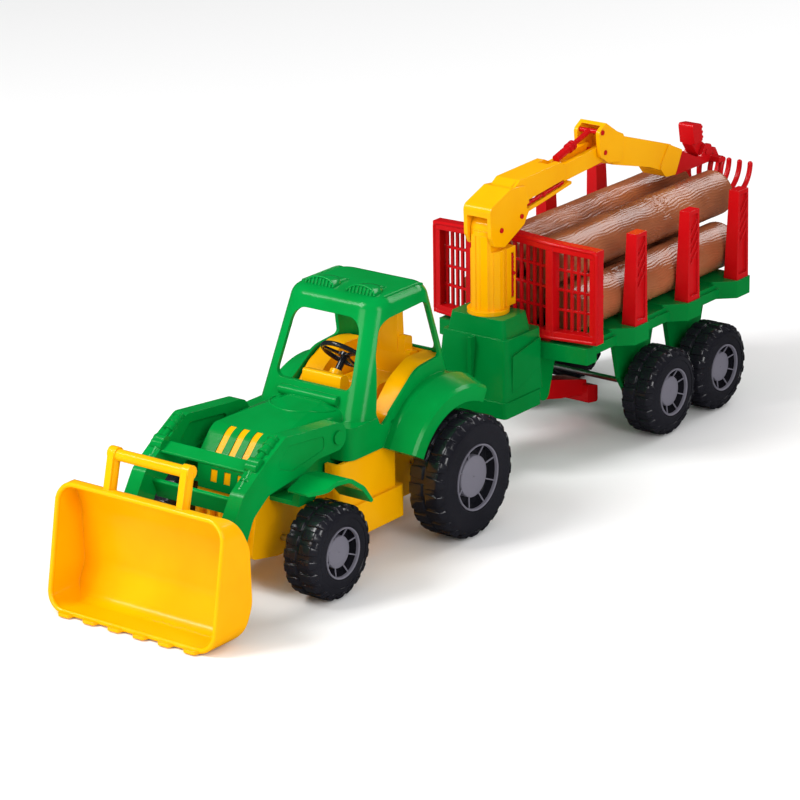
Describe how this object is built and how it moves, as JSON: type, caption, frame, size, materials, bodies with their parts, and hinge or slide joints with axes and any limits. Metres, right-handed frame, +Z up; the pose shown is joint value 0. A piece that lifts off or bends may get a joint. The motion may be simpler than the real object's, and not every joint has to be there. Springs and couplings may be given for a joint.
{
  "type": "toy tractor",
  "caption": "Toy tractor with a front loader bucket, pulling a timber trailer that carries logs and a slewing crane with a gripper.",
  "frame": {"origin": "middle of the whole toy on the ground", "axes": "+Z up, +Y towards the trailer's rear, so the tractor faces -Y, and +X is the tractor's left side"},
  "size_m": [0.162, 0.713, 0.22],
  "materials": {
    "green_plastic": "gloss",
    "yellow_plastic": "gloss",
    "red_plastic": "gloss",
    "black_plastic": "gloss",
    "grey_plastic": "satin",
    "steel": "drawn rod",
    "log_plastic": "gloss with moulded bark grain"
  },
  "bodies": {
    "tractor": {"chassis": "yellow_plastic", "body_shell": "green_plastic", "grille_insert": "yellow_plastic", "cab_interior": "yellow_plastic", "seat": "yellow_plastic", "mudguard_left": "green_plastic", "mudguard_right": "green_plastic", "tow_pin": "green_plastic", "loader_pivot_pins": "green_plastic"},
    "steering": {"steering_wheel": "black_plastic"},
    "loader": {"loader_frame": "green_plastic", "bucket_pins": "steel"},
    "bucket": {"bucket": "yellow_plastic"},
    "trailer": {"crane_pedestal": "green_plastic", "trailer_frame": "green_plastic", "stand_bracket": "green_plastic", "headboard": "red_plastic", "stakes_front": "red_plastic", "stakes_middle": "red_plastic", "stakes_rear": "red_plastic"},
    "parking_stand": {"parking_stand": "red_plastic"},
    "crane_column": {"crane_column": "yellow_plastic", "column_ram": "red_plastic"},
    "lower_boom": {"lower_boom": "yellow_plastic", "boom_ram": "red_plastic", "boom_pin": "red_plastic", "boom_studs": "red_plastic"},
    "jib": {"jib": "yellow_plastic", "jib_pin": "red_plastic", "gripper_head": "red_plastic"},
    "jib_ram": {"jib_ram": "red_plastic"},
    "gripper_lever": {"gripper_lever": "red_plastic", "gripper_pin": "red_plastic"},
    "front_wheels": {"front_axle": "steel", "front_wheel_left": "black_plastic", "front_wheel_right": "black_plastic", "front_hub_left": "grey_plastic", "front_hub_right": "grey_plastic"},
    "rear_wheels": {"rear_axle": "steel", "rear_wheel_left": "black_plastic", "rear_wheel_right": "black_plastic", "rear_hub_left": "grey_plastic", "rear_hub_right": "grey_plastic"},
    "trailer_front_wheels": {"trailer_front_axle": "steel", "trailer_front_wheel_left": "black_plastic", "trailer_front_wheel_right": "black_plastic", "trailer_front_hub_left": "grey_plastic", "trailer_front_hub_right": "grey_plastic"},
    "trailer_rear_wheels": {"trailer_rear_axle": "steel", "trailer_rear_wheel_left": "black_plastic", "trailer_rear_wheel_right": "black_plastic", "trailer_rear_hub_left": "grey_plastic", "trailer_rear_hub_right": "grey_plastic"},
    "log_low_left": {"log_low_left": "log_plastic"},
    "log_low_middle": {"log_low_middle": "log_plastic"},
    "log_low_right": {"log_low_right": "log_plastic"},
    "log_top_left": {"log_top_left": "log_plastic"},
    "log_top_right": {"log_top_right": "log_plastic"}
  },
  "joints": [
    {"name": "front_axle_spin", "type": "hinge", "parent": "tractor", "child": "front_wheels", "pos_m": [0, -0.22849, 0.032], "axis": [1, 0, 0], "continuous": true},
    {"name": "rear_axle_spin", "type": "hinge", "parent": "tractor", "child": "rear_wheels", "pos_m": [0, -0.08899, 0.0427], "axis": [1, 0, 0], "continuous": true},
    {"name": "trailer_front_axle_spin", "type": "hinge", "parent": "trailer", "child": "trailer_front_wheels", "pos_m": [0, 0.15821, 0.032], "axis": [1, 0, 0], "continuous": true},
    {"name": "trailer_rear_axle_spin", "type": "hinge", "parent": "trailer", "child": "trailer_rear_wheels", "pos_m": [0, 0.22571, 0.032], "axis": [1, 0, 0], "continuous": true},
    {"name": "steering_turn", "type": "hinge", "parent": "tractor", "child": "steering", "pos_m": [0, -0.12749, 0.124], "axis": [0, 0.6801, 0.7331], "continuous": true},
    {"name": "loader_lift", "type": "hinge", "parent": "tractor", "child": "loader", "pos_m": [0, -0.19549, 0.095], "axis": [-1, 0, 0], "range_deg": [0, 45]},
    {"name": "bucket_tip", "type": "hinge", "parent": "loader", "child": "bucket", "pos_m": [0, -0.30749, 0.045], "axis": [1, 0, 0], "range_deg": [-20, 50]},
    {"name": "trailer_turn", "type": "hinge", "parent": "tractor", "child": "trailer", "pos_m": [0, -0.03249, 0.04], "axis": [0, 0, 1], "range_deg": [-25, 25]},
    {"name": "parking_stand_fold", "type": "hinge", "parent": "trailer", "child": "parking_stand", "pos_m": [0, 0.08351, 0.041], "axis": [-1, 0, 0], "range_deg": [0, 12]},
    {"name": "crane_slew", "type": "hinge", "parent": "trailer", "child": "crane_column", "pos_m": [0, 0.03501, 0.112], "axis": [0, 0, 1], "range_deg": [-110, 110]},
    {"name": "boom_lift", "type": "hinge", "parent": "crane_column", "child": "lower_boom", "pos_m": [0, 0.03501, 0.172], "axis": [1, 0, 0], "range_deg": [0, 40]},
    {"name": "jib_lift", "type": "hinge", "parent": "lower_boom", "child": "jib", "pos_m": [0, 0.16351, 0.1985], "axis": [1, 0, 0], "range_deg": [0, 40]},
    {"name": "jib_ram_swing", "type": "hinge", "parent": "jib", "child": "jib_ram", "pos_m": [0, 0.15951, 0.214], "axis": [1, 0, 0], "range_deg": [-44, 0]},
    {"name": "gripper_squeeze", "type": "hinge", "parent": "jib", "child": "gripper_lever", "pos_m": [0, 0.30251, 0.1675], "axis": [1, 0, 0], "range_deg": [0, 10]},
    {"name": "log_low_left_draw", "type": "slide", "parent": "trailer", "child": "log_low_left", "axis": [0, 1, 0], "range_m": [0, 0.24]},
    {"name": "log_low_middle_draw", "type": "slide", "parent": "trailer", "child": "log_low_middle", "axis": [0, 1, 0], "range_m": [0, 0.24]},
    {"name": "log_low_right_draw", "type": "slide", "parent": "trailer", "child": "log_low_right", "axis": [0, 1, 0], "range_m": [0, 0.24]},
    {"name": "log_top_left_lift", "type": "slide", "parent": "trailer", "child": "log_top_left", "axis": [0.6, 0, 0.8], "range_m": [0, 0.08]},
    {"name": "log_top_right_lift", "type": "slide", "parent": "trailer", "child": "log_top_right", "axis": [-0.6, 0, 0.8], "range_m": [0, 0.08]}
  ],
  "couplings": [
    {"joint": "jib_ram_swing", "follows": "jib_lift", "ratio": -1.1}
  ]
}
